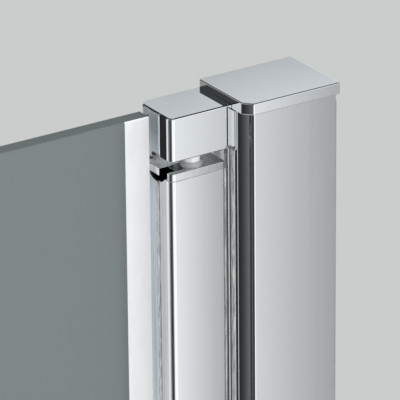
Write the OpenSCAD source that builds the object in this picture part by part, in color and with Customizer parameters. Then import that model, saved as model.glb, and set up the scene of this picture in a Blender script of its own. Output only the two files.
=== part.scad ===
// Pivot shower door for a niche, hung on a rise-and-fall hinge beside one wall.
// X runs along the door, with the hinge-side wall at x = 0 and the opening at x < 0.
// Y runs into the shower, Z up from the tray. The origin is on the hinge-side wall face,
// at the foot of its wall channel and midway between the channel's flanges.

/* [Opening] */
// Width of the niche, wall to wall
niche_w = 900; // [800:5:1200]
// Height of the door, tray to the top of the wall caps
door_h = 2000; // [1800:10:2200]

/* [Wall profiles] */
// Projection of the hinge-side cover profile
cover_w = 47.8; // [46:0.2:56]
// Projection of the strike-side cover profile
strike_w = 30; // [28:0.5:44]
// Depth of both cover profiles, front to back
cover_d = 37.3; // [36:0.1:42]
// Wall of the cover profiles
cover_t = 1.6; // [1.2:0.1:2.2]
// Width of the bevel at the cover profiles' front corner
cover_cut = 4; // [3:0.1:6]
// Depth of the plain edge in front of the bevel
cover_edge = 3.1; // [1:0.1:4]
// Ledge between the plain edge and the bevel's facet
cover_ledge = 0.9; // [0.3:0.1:1.5]
// Depth of the facet
cover_facet = 4.7; // [2:0.1:5]
// Radius of the cover profiles' back corner
cover_back_r = 1.5; // [0.5:0.1:2]
// Shadow gap between a cover profile and its wall
shadow_gap = 1.4; // [0.8:0.1:3]
// Wall of the wall channels
channel_t = 2; // [1.5:0.1:2.6]
// Length of the channel flanges from the wall
channel_w = 24; // [22:0.5:26]
// Distance of a channel's top below its cover profile's top
channel_short = 8; // [5:0.5:20]
// Distance between neighbouring wall fixing holes
fixing_pitch = 800; // [600:10:860]
// Radius of the wall fixing holes
fixing_r = 2.75; // [2:0.05:3.5]

/* [Caps] */
// How far the caps stand proud of the cover profiles
cap_proud = 1.1; // [0.8:0.1:2]
// Plate of the top caps
cap_plate = 2; // [1.2:0.1:3]
// Height of the top caps at their skirt
cap_h = 5.6; // [4:0.1:9]
// Leg of the chamfer at the caps' front corner
cap_cut = 4.3; // [3:0.1:5]
// Radius of the caps' two corners beside the wall
cap_wall_r = 0.5; // [0.2:0.1:1]
// Plate of the bottom caps
foot_t = 3; // [2:0.1:4]
// Depth of the plugs that hold the caps in the profiles
plug_h = 4; // [3:0.5:6]

/* [Jamb] */
// Thickness of the two fins beside the seal groove
fin_t = 0.6; // [0.5:0.1:1.2]
// Height of the fins
fin_h = 0.7; // [0.6:0.1:1.6]
// Width of the seal groove between the fins
groove_w = 0.9; // [0.6:0.1:1.2]
// Step of the fins' front from the blocks' front
fin_step = 2.95; // [2.8:0.05:4]
// Step from the block's front back to the rib
rib_step = 2.2; // [1.5:0.1:4]
// Width of the rib
rib_w = 3.5; // [2:0.1:5]
// Height of the rib
rib_h = 0.9; // [0.5:0.1:1]

/* [Pivot blocks] */
// Width of a pivot block
block_w = 32.4; // [30:0.2:36]
// Height of a pivot block
block_h = 21; // [18:0.5:26]
// Corner radius of a pivot block
block_r = 2.4; // [1:0.1:4]
// Radius of a pivot block's free corner at the back
block_back_r = 4.8; // [2:0.1:6]
// Step from the cover profile's front back to the block's front
block_setback = 11; // [9:0.1:13]
// Step from the cap's top down to the block's top
block_drop = 3.3; // [2.5:0.1:5]
// Depth of the shallow recess in the block's free flank
recess_t = 0.8; // [0.4:0.1:1.5]
// Step from the block's front back to the recess
recess_step = 9.5; // [8:0.1:12]
// Rim left above the recess
recess_rim = 1; // [0.6:0.1:3]
// Step from the block's front back to the lug under it
lug_step = 17.4; // [16:0.1:20]
// Width of the lug
lug_w = 5.4; // [3:0.1:6]
// Length of the pivot axis from the block's fixed side
axis_inset = 17.7; // [17.3:0.1:20]
// Distance of the pivot axis behind the block's front
axis_setback = 6.1; // [5.9:0.1:7]
// Gap between a pivot block and the swinging leaf
pivot_gap = 5.6; // [5.2:0.1:7]

/* [Pins and cams] */
// Radius of the pivot pins
pin_r = 2.5; // [2:0.1:2.8]
// Depth of the bottom pin in its block
pin_bury = 16; // [10:0.5:17]
// Radius of the top pin's shoulder
shoulder_r = 4; // [3:0.1:4.2]
// Length of the top pin's shoulder
shoulder_len = 11.5; // [9:0.5:12]
// Radius of the bush sleeves
bush_r = 4; // [3.6:0.1:4.4]
// Length of the bush sleeves inside the leaf
bush_len = 22; // [16:1:30]
// Radius of the bush flanges and cams
flange_r = 5.2; // [4.8:0.1:5.6]
// Thickness of the top bush's flange
flange_t = 2.2; // [1.8:0.1:2.4]
// Rise of the lift cams for each quarter turn
cam_rise = 2.5; // [1.5:0.1:2.7]
// Thickness of the lower cam's base under its ramps
cam_base = 1; // [0.6:0.1:1.2]
// Angle kept free beside the steep side of each ramp
cam_wall_gap = 4; // [2:0.5:8]

/* [Hinge profile] */
// Gap between the hinge profile and the fixed jamb
leaf_gap = 3.4; // [3:0.1:5]
// Wall of the hinge profile
leaf_t = 1.8; // [1.4:0.1:2.2]
// Radius of the hinge profile's front corner beside the glass
leaf_r = 2.5; // [1.9:0.1:4]
// Radius of the hinge profile's two corners beside the jamb
leaf_edge_r = 1.2; // [0.5:0.1:1.5]
// Wall of the web from the bush sleeve to the profile's back
web_t = 2; // [1.5:0.1:4]
// Width of the flange bonded to the glass
bond_w = 12.9; // [10:0.1:18]
// Thickness of that flange
bond_flange_t = 2; // [1.5:0.1:3]
// Thickness of the bonding tape
tape_t = 1; // [0.5:0.1:1.5]
// Step from the glass's top down to the top of the tape and its flange
bond_drop = 4; // [0:0.5:10]
// Step from the block's front back to the flank gasket's groove
gasket_step = 9.7; // [8.5:0.1:12]
// Width of the flank gasket's groove
gasket_w = 2.1; // [1.5:0.1:3]
// How far the flank gasket stands out
gasket_proud = 0.3; // [0.1:0.1:0.6]
// Depth of the gasket and lip seal grooves
groove_t = 1; // [0.6:0.1:1.2]
// Radius of the round notch in the profile's free flank
notch_r = 9; // [7:0.1:10]
// Step from the block's front back to the notch's centre
notch_step = 12.1; // [11:0.1:13]
// Height of the notch's centre above the leaf's end
notch_up = 2.1; // [0:0.1:4]

/* [End caps of the leaf] */
// Thickness of the profile's end caps
end_cap_t = 3.7; // [3:0.1:5]
// Width of the slot from the top end cap's flank to the bush
slot_w = 7; // [4:0.5:9]
// Step from the block's front back to the slot's middle
slot_step = 6.7; // [6:0.1:7]
// Radius of the end caps' screws
end_screw_r = 1.45; // [1.2:0.05:1.6]
// Length of the end caps' screws
end_screw_len = 14; // [10:1:20]
// Outside radius of the screw ports in the hinge profile
port_r = 2.8; // [2.5:0.1:3.2]
// Distance of a port's centre from the profile's inner walls
port_in = 2; // [1.5:0.1:2.4]

/* [Glass] */
// Thickness of the glass
glass_t = 8; // [6:0.5:10]
// Step from the block's front back to the glass
glass_setback = 15.1; // [14:0.1:17]
// Gap between the glass and the block's free flank
glass_gap = 1.35; // [1.2:0.05:2.5]
// Step from the cap's top down to the glass
glass_drop = 6.4; // [5:0.1:20]
// Height of the glass above the threshold rail
glass_lift = 8; // [7:0.5:12]

/* [Seals] */
// Wall of the clear seals
seal_t = 0.8; // [0.6:0.1:1.1]
// Height of the seal legs on the glass
seal_leg = 8; // [6:0.5:12]
// Step from the block's front back to the lip seal on the leaf
lip_step = 1; // [0.8:0.1:2]
// Width of the lip seal's foot
lip_w = 1.6; // [1:0.1:2]
// Height of the jamb seal's head above the fins
jamb_head = 0.6; // [0.4:0.1:1.4]
// Depth of a magnet strip across the door
magnet_w = 5; // [4:0.5:7]
// Gap between the two magnet chambers
magnet_gap = 1; // [0.8:0.1:2]
// Gap between the closing seal and the strike's stop lip
stop_gap = 0.3; // [0.2:0.1:1]
// Thickness of the strike's stop lip
stop_t = 1.2; // [0.8:0.1:2]
// Thickness of the drip seal's lip
drip_t = 1; // [0.8:0.1:2]
// Gap between the drip lip and the threshold rail
drip_gap = 0.6; // [0.4:0.1:2]

/* [Threshold] */
// Height of the threshold rail
rail_h = 8; // [6:0.5:12]
// Height of the rail's outer edges
rail_edge_h = 3.2; // [2:0.1:5]
// How far the rail's top runs past the block, in front and behind
rail_land = 0.4; // [0.2:0.1:2]
// Run of the rail's sloping sides
rail_over = 2.4; // [1:0.1:8]

/* [Handles] */
// Height of the handles' middle above the tray
handle_z = 1050; // [850:10:1150]
// Distance between a handle's two posts
handle_pitch = 200; // [120:10:400]
// Length of a handle bar beyond each post
handle_tail = 30; // [15:1:60]
// Radius of a handle bar
bar_r = 8; // [6:0.5:10]
// Radius of a handle post
post_r = 7.5; // [7:0.5:9]
// Clear space between a handle bar and its washer
hand_space = 37; // [30:1:60]
// Distance of the handles from the glass's closing edge
handle_inset = 60; // [40:1:120]
// Radius of the handle holes in the glass
glass_hole_r = 6; // [5.5:0.1:8]
// Radius of the handle studs
stud_r = 4; // [3:0.1:4.5]
// Depth of the studs in the posts
stud_bite = 18; // [14:1:26]
// Radius of the washers between handle and glass
washer_r = 9.5; // [9:0.5:12]
// Thickness of the washers
washer_t = 1; // [0.5:0.1:2]
// Length of the washers' collars in the glass
collar_len = 2.9; // [1:0.1:2.9]
// Radius of the handles' grub screws
grub_r = 2.5; // [2:0.1:3]
// Distance of the grub screws from the posts' feet
grub_at = 11; // [8:1:12]

/* [Screws] */
// Radius of the block screws
block_screw_r = 2.5; // [2:0.1:3]
// Depth of the block screws in the blocks
block_screw_len = 11; // [7:0.5:12]
// Step from the cover profile's back wall forward to the block screws
screw_back_step = 4.6; // [4.5:0.1:6]
// Distance between a block's two screws
screw_pitch = 9.4; // [9.2:0.1:11]
// Radius of the block screws' heads
screw_head_r = 4.1; // [3.4:0.1:4.4]
// Thickness of the block screws' heads
screw_head_t = 3.2; // [2:0.1:4]
// Radius of the cover profiles' adjusting screws
cover_screw_r = 2; // [1.5:0.1:2.2]
// Distance between neighbouring adjusting screws
cover_screw_pitch = 750; // [600:10:850]
// Distance of the adjusting screws from the cover profiles' edge beside the wall
cover_screw_in = 14; // [11:0.5:16]
// Radius of the adjusting screws' heads
cover_head_r = 3.6; // [3:0.1:4.2]
// Thickness of the adjusting screws' heads
cover_head_t = 2; // [1.5:0.1:3]
// Radius of the covers over those heads
shell_r = 5.6; // [5:0.1:7]
// Thickness of the covers over those heads
shell_t = 1; // [0.8:0.1:2]

/* [Fits] */
// Play between a cover profile and its channel
slide_gap = 0.15; // [0.1:0.05:0.3]
// Clearance between pieces that are seated on each other
seat = 0.1; // [0.05:0.01:0.15]
// Clearance of a strip in its groove, each side
strip_gap = 0.05; // [0.03:0.01:0.1]
// Running clearance round the pins
pin_play = 0.05; // [0.03:0.01:0.09]
// Clearance between the cam faces
cam_gap = 0.15; // [0.1:0.05:0.3]
// Clearance over the leaf's end at the top of its lift
lug_gap = 0.2; // [0.1:0.05:0.3]
// Clearance round every screw and stud
screw_gap = 0.05; // [0.03:0.01:0.1]

/* [Hidden] */
$fn = 64;
eps = 0.01;

// Hinge side, from the wall outwards
cover_front = -cover_d / 2;
cover_back = cover_d / 2;
cover_x = -(shadow_gap + cover_w);
jamb_x = cover_x - cap_proud;
block_x0 = jamb_x - block_w;
block_y0 = cover_front + block_setback;
block_y1 = cover_back;
axis_x = jamb_x - axis_inset;
axis_y = block_y0 + axis_setback;
leaf_x1 = jamb_x - leaf_gap;

// Strike side
strike_x = -niche_w + shadow_gap + strike_w;

// Heights
cover_top = door_h - cap_plate;
skirt_z = door_h - cap_h;
channel_top = cover_top - channel_short;
top_block_z1 = door_h - block_drop;
top_block_z0 = top_block_z1 - block_h;
bottom_block_z0 = rail_h;
bottom_block_z1 = rail_h + block_h;
leaf_z1 = top_block_z0 - pivot_gap;
leaf_z0 = bottom_block_z1 + pivot_gap;
profile_z0 = leaf_z0 + end_cap_t;
profile_z1 = leaf_z1 - end_cap_t;
glass_z0 = rail_h + glass_lift;
glass_z1 = door_h - glass_drop;
edge_seal_z0 = glass_z0 + seal_leg + 1;
bond_z1 = glass_z1 - bond_drop;
block_screw_zs = [bottom_block_z0 + block_h / 2, top_block_z0 + block_h / 2];
block_screw_y1 = block_y1 - cover_t - screw_back_step;
block_screw_ys = [block_screw_y1 - screw_pitch, block_screw_y1];
fixing_zs = [for (i = [-1 : 1]) door_h / 2 + i * fixing_pitch];
cover_screw_zs = [for (i = [-1 : 1]) door_h / 2 + i * cover_screw_pitch];
cover_screw_x = -(shadow_gap + cover_screw_in);

// Leaf, front to back
glass_y0 = block_y0 + glass_setback;
glass_y1 = glass_y0 + glass_t;
tape_y1 = glass_y1 + tape_t;
leaf_y1 = tape_y1 + bond_flange_t;

// Closing edge: cover flank, strike seal, magnet gap, closing seal, glass
chamber_w = magnet_w + 2 * seal_t;
strike_base_x = strike_x + cap_proud + 0.3;
strike_face_x = strike_base_x + chamber_w;
closing_face_x = strike_face_x + magnet_gap;
glass_x0 = closing_face_x + chamber_w + seal_t;
glass_x1 = block_x0 - glass_gap;
bond_x0 = glass_x1 - bond_w;
chamber_y0 = glass_y0 + seal_t;
chamber_y1 = glass_y1 - seal_t;

// Places measured back from the blocks' front
fin_y0 = block_y0 - fin_step;
fin_y1 = fin_y0 + 2 * fin_t + groove_w;
rib_y0 = block_y0 + rib_step;
recess_y = block_y0 + recess_step;
lug_y = block_y0 + lug_step;
gasket_y = block_y0 + gasket_step;
lip_y = block_y0 + lip_step;
notch_y = block_y0 + notch_step;
slot_y = block_y0 + slot_step;

// Screw ports of the hinge profile
port_xs = [block_x0 + leaf_t + port_in, leaf_x1 - leaf_t - port_in];
port_y = leaf_y1 - leaf_t - port_in;

// Lift cams
cam_lobes = 3;
cam_turn = 360 / cam_lobes;
lobe_angles = [for (n = [0 : cam_lobes - 1]) n * cam_turn];
cam_k = cam_rise / 90;
cam_steps = 8;

// Handles
handle_x = glass_x0 + handle_inset;
post_zs = [handle_z - handle_pitch / 2, handle_z + handle_pitch / 2];
outer_post_y = glass_y0 - washer_t;
inner_post_y = glass_y1 + washer_t;

// Outline with its own radius at each corner: front left, front right, back right, back left.
// cut is the leg of a chamfer at the front left corner
module outline(x0, y0, x1, y1, fl = 0, fr = 0, br = 0, bl = 0, cut = 0) {
    difference() {
        translate([x0, y0]) square([x1 - x0, y1 - y0]);
        if (cut > 0) polygon([[x0 - 1, y0 - 1], [x0 + cut + 1, y0 - 1], [x0 - 1, y0 + cut + 1]]);
        if (fl > 0) translate([x0 - eps, y0 - eps]) square(fl + eps);
        if (fr > 0) translate([x1 - fr, y0 - eps]) square(fr + eps);
        if (br > 0) translate([x1 - br, y1 - br]) square(br + eps);
        if (bl > 0) translate([x0 - eps, y1 - bl]) square(bl + eps);
    }
    if (fl > 0) translate([x0 + fl, y0 + fl]) circle(fl);
    if (fr > 0) translate([x1 - fr, y0 + fr]) circle(fr);
    if (br > 0) translate([x1 - br, y1 - br]) circle(br);
    if (bl > 0) translate([x0 + bl, y1 - bl]) circle(bl);
}

// Takes the bevel off the front left corner of an outline whose corner is at x0, y0: a plain
// edge, a ledge and a facet. With t it takes the same off a shape that lies t inside
module bevel_off(x0, y0, t = 0) {
    k = cover_facet / (cover_cut - cover_ledge);
    facet_y = cover_edge + t * sqrt(1 + k * k) + k * (cover_cut - cover_ledge);
    translate([x0, y0]) polygon([
        [-1, -1], [cover_cut + t, -1],
        if (t == 0) [cover_cut, cover_edge],
        [t > 0 ? cover_cut + t : cover_cut - cover_ledge,
         facet_y - k * (t > 0 ? cover_cut + t : cover_cut - cover_ledge)],
        [-1, facet_y + k]]);
}

// Extrusion between two heights
module between(z0, z1) {
    translate([0, 0, z0]) linear_extrude(z1 - z0) children();
}

// Round bar along X, Y or Z
module bar_x(x0, x1, r) { translate([x0, 0, 0]) rotate([0, 90, 0]) cylinder(h = x1 - x0, r = r); }
module bar_y(y0, y1, r) { translate([0, y1, 0]) rotate([90, 0, 0]) cylinder(h = y1 - y0, r = r); }
module bar_z(z0, z1, r) { translate([0, 0, z0]) cylinder(h = z1 - z0, r = r); }

// Places a hinge-side shape on the strike wall
module on_strike_wall() {
    translate([-niche_w, 0, 0]) mirror([1, 0, 0]) children();
}

// Wall channel: U section, open away from the wall, with fixing holes in its base
module channel() {
    half = cover_d / 2 - cover_t - slide_gap;
    difference() {
        between(0, channel_top) difference() {
            translate([-channel_w, -half]) square([channel_w, 2 * half]);
            translate([-channel_w - 1, -half + channel_t])
                square([channel_w + 1 - channel_t, 2 * (half - channel_t)]);
        }
        for (z = fixing_zs) translate([0, 0, z]) bar_x(-channel_t - 1, 1, fixing_r);
        for (z = cover_screw_zs) translate([cover_screw_x, 0, z])
            bar_y(half - channel_t - 1, half + 1, cover_screw_r + screw_gap);
    }
}

// Cover profile: box section over the channel, open to the wall
module cover(w) {
    difference() {
        between(foot_t, cover_top) difference() {
            outline(-shadow_gap - w, cover_front, -shadow_gap, cover_back, bl = cover_back_r);
            bevel_off(-shadow_gap - w, cover_front);
            difference() {
                outline(-shadow_gap - w + cover_t, cover_front + cover_t, 1, cover_back - cover_t);
                bevel_off(-shadow_gap - w, cover_front, cover_t);
            }
        }
        for (z = cover_screw_zs) translate([cover_screw_x, 0, z])
            bar_y(cover_back - cover_t - 1, cover_back + 1, cover_screw_r + screw_gap);
    }
}

// Outline of a cap over a cover profile of width w
module cap_outline(w) {
    outline(-shadow_gap - w - cap_proud, cover_front - cap_proud, 0, cover_back + cap_proud,
            cut = cap_cut, fr = cap_wall_r, br = cap_wall_r, bl = cover_back_r);
}

// Plug that holds a cap in its cover profile, beyond the channel's flanges
module plug_outline(w) {
    x0 = -shadow_gap - w + cover_t + slide_gap;
    y1 = cover_back - cover_t - slide_gap;
    difference() {
        outline(x0, -y1, -channel_w - 1, y1, bl = 0.3);
        bevel_off(-shadow_gap - w, cover_front, cover_t + slide_gap);
    }
}

module wall_cap(w) {
    between(cover_top, door_h) cap_outline(w);
    between(skirt_z, cover_top) difference() {
        cap_outline(w);
        outline(-shadow_gap - w - seat, cover_front - seat, -shadow_gap + seat, cover_back + seat,
                cut = cover_cut, bl = cover_back_r);
    }
    between(cover_top - plug_h, cover_top) plug_outline(w);
}

module foot_cap(w) {
    half = cover_d / 2 - cover_t - slide_gap + seat;
    difference() {
        between(0, foot_t) cap_outline(w);
        between(-1, foot_t + 1) translate([-channel_w - seat, -half]) square([channel_w + 1, 2 * half]);
    }
    between(foot_t, foot_t + plug_h) plug_outline(w);
}

// Adjusting screws through the cover profile's back into the channel
module adjusting_screws() {
    for (z = cover_screw_zs) translate([cover_screw_x, 0, z]) {
        bar_y(cover_back - cover_t - slide_gap - channel_t - 2, cover_back, cover_screw_r);
        bar_y(cover_back, cover_back + cover_head_t, cover_head_r);
    }
}

module head_covers() {
    for (z = cover_screw_zs) translate([cover_screw_x, 0, z]) difference() {
        bar_y(cover_back, cover_back + cover_head_t + seat + shell_t, shell_r);
        bar_y(cover_back - 1, cover_back + cover_head_t + seat, cover_head_r + seat);
    }
}

module wall_channel() { color("silver") channel(); }
module cover_profile() {
    color("gainsboro") difference() {
        cover(cover_w);
        block_screw_holes(cover_x - 1, cover_x + cover_t + 1);
    }
}
module cover_screws() { color("gray") adjusting_screws(); }
module screw_covers() { color("gainsboro") head_covers(); }
module top_cap() { color("lightgray") wall_cap(cover_w); }
module bottom_cap() { color("lightgray") foot_cap(cover_w); }

// Both blocks' screw holes, from x0 to x1
module block_screw_holes(x0, x1) {
    for (z = block_screw_zs, y = block_screw_ys)
        translate([0, y, z]) bar_x(x0, x1, block_screw_r + screw_gap);
}

// Jamb: plate on the cover profile's flank, two fins with the seal groove, and a rib
module hinge_jamb() {
    color("silver") difference() {
        union() {
            between(foot_t, skirt_z)
                translate([jamb_x, fin_y0]) square([cap_proud, cover_back - fin_y0]);
            between(bottom_block_z1, top_block_z0) for (y = [fin_y0, fin_y1 - fin_t])
                translate([jamb_x - fin_h, y]) square([fin_h + eps, fin_t]);
            between(bottom_block_z1, top_block_z0)
                outline(jamb_x - rib_h, rib_y0, jamb_x + cap_proud, rib_y0 + rib_w,
                        fl = rib_h * 0.8, bl = rib_h * 0.8);
        }
        block_screw_holes(jamb_x - 1, cover_x + 1);
    }
}

module jamb_seal() {
    head_x = jamb_x - fin_h - strip_gap;
    color("lightcyan") between(bottom_block_z1 + lug_gap, top_block_z0) {
        translate([head_x - eps, fin_y0 + fin_t + strip_gap])
            square([jamb_x - head_x, groove_w - 2 * strip_gap]);
        outline(head_x - jamb_head, fin_y0, head_x, fin_y1, fl = jamb_head / 2, bl = jamb_head / 2);
    }
}

module block_outline() {
    outline(block_x0, block_y0, jamb_x, block_y1, fl = block_r, bl = block_back_r);
}

// Tapped holes for the block screws, seen from the fixed side
module block_threads() {
    block_screw_holes(jamb_x - block_screw_len - 0.5, jamb_x + 1);
}

module top_pivot_block() {
    lug_z = leaf_z1 + cam_rise + lug_gap;
    color("lightgray") {
        difference() {
            between(top_block_z0, top_block_z1) block_outline();
            translate([block_x0 - 1, recess_y, top_block_z0 - 1])
                cube([1 + recess_t, block_y1 - recess_y + 1, block_h + 1 - recess_rim]);
            translate([axis_x, axis_y, 0])
                bar_z(top_block_z0 - 1, leaf_z1 + flange_t + shoulder_len + cam_rise + 1.5,
                      shoulder_r + pin_play);
            block_threads();
        }
        between(lug_z, top_block_z0 + eps) intersection() {
            block_outline();
            translate([block_x0 + recess_t, lug_y]) square([lug_w, block_y1 - lug_y]);
        }
    }
}

module bottom_pivot_block() {
    color("lightgray") difference() {
        between(bottom_block_z0, bottom_block_z1) block_outline();
        translate([block_x0 - 1, recess_y, bottom_block_z0 + recess_rim])
            cube([1 + recess_t, block_y1 - recess_y + 1, block_h]);
        translate([axis_x, axis_y, 0])
            bar_z(bottom_block_z1 - pin_bury, bottom_block_z1 + 1, pin_r + pin_play);
        block_threads();
    }
}

module block_screws() {
    color("gray") for (z = block_screw_zs, y = block_screw_ys) translate([0, y, z]) {
        bar_x(jamb_x - block_screw_len, cover_x + cover_t, block_screw_r);
        bar_x(cover_x + cover_t, cover_x + cover_t + screw_head_t, screw_head_r);
    }
}

// Ring sector between a flat height and a height that climbs with the angle at slope k
function sector_points(a0, a1, z_flat, z_start, k, r0, r1) =
    [for (i = [0 : cam_steps])
        let (a = a0 + (a1 - a0) * i / cam_steps, z = z_start + k * (a - a0), c = cos(a), s = sin(a))
        each [[r0 * c, r0 * s, z_flat], [r1 * c, r1 * s, z_flat], [r1 * c, r1 * s, z], [r0 * c, r0 * s, z]]];
sector_faces =
    [[3, 2, 1, 0],
     for (i = [0 : cam_steps - 1]) let (b = 4 * i)
        each [[b, b + 1, b + 5, b + 4], [b + 1, b + 2, b + 6, b + 5], [b + 2, b + 3, b + 7],
              [b + 2, b + 7, b + 6], [b + 3, b, b + 4, b + 7]],
     [for (k = [0 : 3]) 4 * cam_steps + k]];
function turned(faces) = [for (f = faces) [for (k = [len(f) - 1 : -1 : 0]) f[k]]];

// Cutter over (or under) a helical ramp, wider than the cam at both its radii
module ramp_cutter(a0, a1, z_flat, z_start, k) {
    polyhedron(points = sector_points(a0, a1, z_flat, z_start, k, pin_r / 2, flange_r * 1.5),
               faces = z_flat > z_start ? turned(sector_faces) : sector_faces, convexity = 4);
}

module bottom_pivot_pin() {
    color("silver") translate([axis_x, axis_y, 0])
        bar_z(bottom_block_z1 - pin_bury, leaf_z0 + bush_len, pin_r);
}

module top_pivot_pin() {
    color("whitesmoke") translate([axis_x, axis_y, 0]) {
        bar_z(leaf_z1 + flange_t - bush_len, leaf_z1 + flange_t + eps, pin_r);
        bar_z(leaf_z1 + flange_t, leaf_z1 + flange_t + shoulder_len, shoulder_r);
    }
}

module lower_lift_cam() {
    z_ramp = bottom_block_z1 + cam_base;
    z_high = z_ramp + cam_k * cam_turn;
    color("whitesmoke") translate([axis_x, axis_y, 0]) difference() {
        bar_z(bottom_block_z1, z_high, flange_r);
        for (a = lobe_angles)
            ramp_cutter(a, a + cam_turn, z_high + 1, z_ramp, cam_k);
        bar_z(bottom_block_z1 - 1, leaf_z0, pin_r + pin_play);
    }
}

module upper_lift_cam() {
    z_ramp = bottom_block_z1 + cam_base + cam_gap;
    z_high = z_ramp + cam_k * cam_turn;
    color("whitesmoke") translate([axis_x, axis_y, 0]) difference() {
        union() {
            bar_z(z_ramp, leaf_z0, flange_r);
            bar_z(leaf_z0 - eps, leaf_z0 + bush_len, bush_r);
        }
        for (a = lobe_angles) {
            ramp_cutter(a, a + cam_wall_gap, z_ramp - 1, z_high, 0);
            ramp_cutter(a + cam_wall_gap, a + cam_turn, z_ramp - 1, z_ramp + cam_k * cam_wall_gap, cam_k);
        }
        bar_z(bottom_block_z1, leaf_z0 + bush_len + 1, pin_r + pin_play);
    }
}

// Section of the hinge profile's box, without the flange behind the glass
module leaf_box() {
    outline(block_x0, block_y0, leaf_x1, leaf_y1, fl = leaf_r, fr = leaf_edge_r, br = leaf_edge_r);
}

module leaf_section() {
    difference() {
        union() {
            difference() {
                leaf_box();
                outline(block_x0 + leaf_t, block_y0 + leaf_t, leaf_x1 - leaf_t, leaf_y1 - leaf_t,
                        fl = leaf_r - leaf_t);
            }
            translate([axis_x, axis_y]) circle(bush_r + leaf_t);
            for (x = port_xs) translate([x, port_y]) circle(port_r);
            translate([axis_x - web_t / 2, axis_y + bush_r])
                square([web_t, leaf_y1 - leaf_t / 2 - axis_y - bush_r]);
        }
        translate([axis_x, axis_y]) circle(bush_r + screw_gap);
        for (x = port_xs) translate([x, port_y]) circle(end_screw_r + screw_gap);
        translate([block_x0 - eps, gasket_y]) square([groove_t + eps, gasket_w]);
        translate([leaf_x1 - groove_t, lip_y]) square([groove_t + eps, lip_w]);
    }
}

module hinge_profile() {
    color("gainsboro") {
        difference() {
            between(profile_z0, profile_z1) leaf_section();
            translate([0, notch_y, leaf_z1 + notch_up])
                bar_x(block_x0 - 1, block_x0 + leaf_t + 0.2, notch_r);
        }
        between(edge_seal_z0, bond_z1)
            translate([bond_x0, tape_y1]) square([block_x0 - bond_x0 - glass_gap / 3, bond_flange_t]);
        between(profile_z0, profile_z1)
            translate([block_x0 - glass_gap / 2, tape_y1]) square([glass_gap, bond_flange_t]);
    }
}

// End cap of the hinge profile between two heights
module leaf_cap(z0, z1) {
    difference() {
        between(z0, z1) leaf_box();
        translate([axis_x, axis_y, 0]) bar_z(z0 - 1, z1 + 1, bush_r + screw_gap);
        for (x = port_xs) translate([x, port_y, 0]) bar_z(z0 - 1, z1 + 1, end_screw_r + screw_gap);
    }
}

module top_end_cap() {
    color("silver") difference() {
        leaf_cap(leaf_z1 - end_cap_t, leaf_z1);
        translate([block_x0 - 1, slot_y - slot_w / 2, leaf_z1 - end_cap_t - 1])
            cube([axis_x - block_x0 + 1, slot_w, end_cap_t + 2]);
        end_screw_heads(leaf_z1 + eps, -1);
    }
}

module bottom_end_cap() {
    color("silver") difference() {
        leaf_cap(leaf_z0, leaf_z0 + end_cap_t);
        end_screw_heads(leaf_z0 - eps, 1);
    }
}

// Countersunk heads of the end cap screws, from face height z inwards along sign s
module end_screw_heads(z, s, grow = screw_gap) {
    for (x = port_xs) translate([x, port_y, z])
        rotate([s > 0 ? 0 : 180, 0, 0])
            cylinder(h = end_screw_r, r1 = 2 * end_screw_r + grow, r2 = end_screw_r + grow);
}

module end_cap_screws() {
    color("gray") {
        end_screw_heads(leaf_z1, -1, 0);
        end_screw_heads(leaf_z0, 1, 0);
        for (x = port_xs) translate([x, port_y, 0]) {
            bar_z(leaf_z1 - end_screw_len, leaf_z1 - end_screw_r + eps, end_screw_r);
            bar_z(leaf_z0 + end_screw_r - eps, leaf_z0 + end_screw_len, end_screw_r);
        }
    }
}

module top_bush() {
    color("whitesmoke") translate([axis_x, axis_y, 0]) difference() {
        union() {
            bar_z(leaf_z1, leaf_z1 + flange_t, flange_r);
            bar_z(leaf_z1 - bush_len, leaf_z1 + eps, bush_r);
        }
        bar_z(leaf_z1 - bush_len - 1, leaf_z1 + flange_t + 1, pin_r + pin_play);
    }
}

module glass_pane() {
    color([0.55, 0.62, 0.6, 0.8]) difference() {
        translate([glass_x0, glass_y0, glass_z0]) cube([glass_x1 - glass_x0, glass_t, glass_z1 - glass_z0]);
        for (z = post_zs) translate([handle_x, 0, z]) bar_y(glass_y0 - 1, glass_y1 + 1, glass_hole_r);
    }
}

module bonding_tape() {
    color("white") between(edge_seal_z0, bond_z1)
        translate([bond_x0, glass_y1]) square([bond_w, tape_t]);
}

module flank_gasket() {
    color("lightcyan") between(profile_z0, leaf_z1 + notch_up - notch_r - 1)
        translate([block_x0 - gasket_proud, gasket_y + strip_gap])
            square([groove_t + gasket_proud - strip_gap, gasket_w - 2 * strip_gap]);
}

module hinge_lip_seal() {
    color("lightcyan") between(profile_z0, profile_z1) {
        translate([leaf_x1 - groove_t + strip_gap, lip_y + strip_gap])
            square([groove_t, lip_w - 2 * strip_gap]);
        outline(leaf_x1, lip_y - seal_t / 4, leaf_x1 + seal_t, lip_y + lip_w + seal_t * 3 / 4,
                fr = seal_t / 3, br = seal_t / 3);
    }
}

module drip_seal() {
    z0 = rail_h + drip_gap;
    color("lightcyan") {
        translate([glass_x0, glass_y0 - seal_t, glass_z0 - seal_t])
            cube([glass_x1 - glass_x0, glass_t + 2 * seal_t, seal_t]);
        for (y = [glass_y0 - seal_t, glass_y1])
            translate([glass_x0, y, glass_z0 - eps]) cube([glass_x1 - glass_x0, seal_t, seal_leg]);
        translate([glass_x0, glass_y0 + glass_t / 2 - drip_t / 2, z0])
            cube([glass_x1 - glass_x0, drip_t, glass_z0 - seal_t / 2 - z0]);
    }
}

module closing_seal() {
    color("lightcyan") between(edge_seal_z0, glass_z1) {
        difference() {
            translate([closing_face_x, glass_y0 - seal_t])
                square([glass_x0 + seal_leg - closing_face_x, glass_t + 2 * seal_t]);
            translate([glass_x0, glass_y0]) square([seal_leg + 1, glass_t]);
            translate([closing_face_x + seal_t, chamber_y0])
                square([magnet_w, chamber_y1 - chamber_y0]);
        }
    }
}

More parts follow.
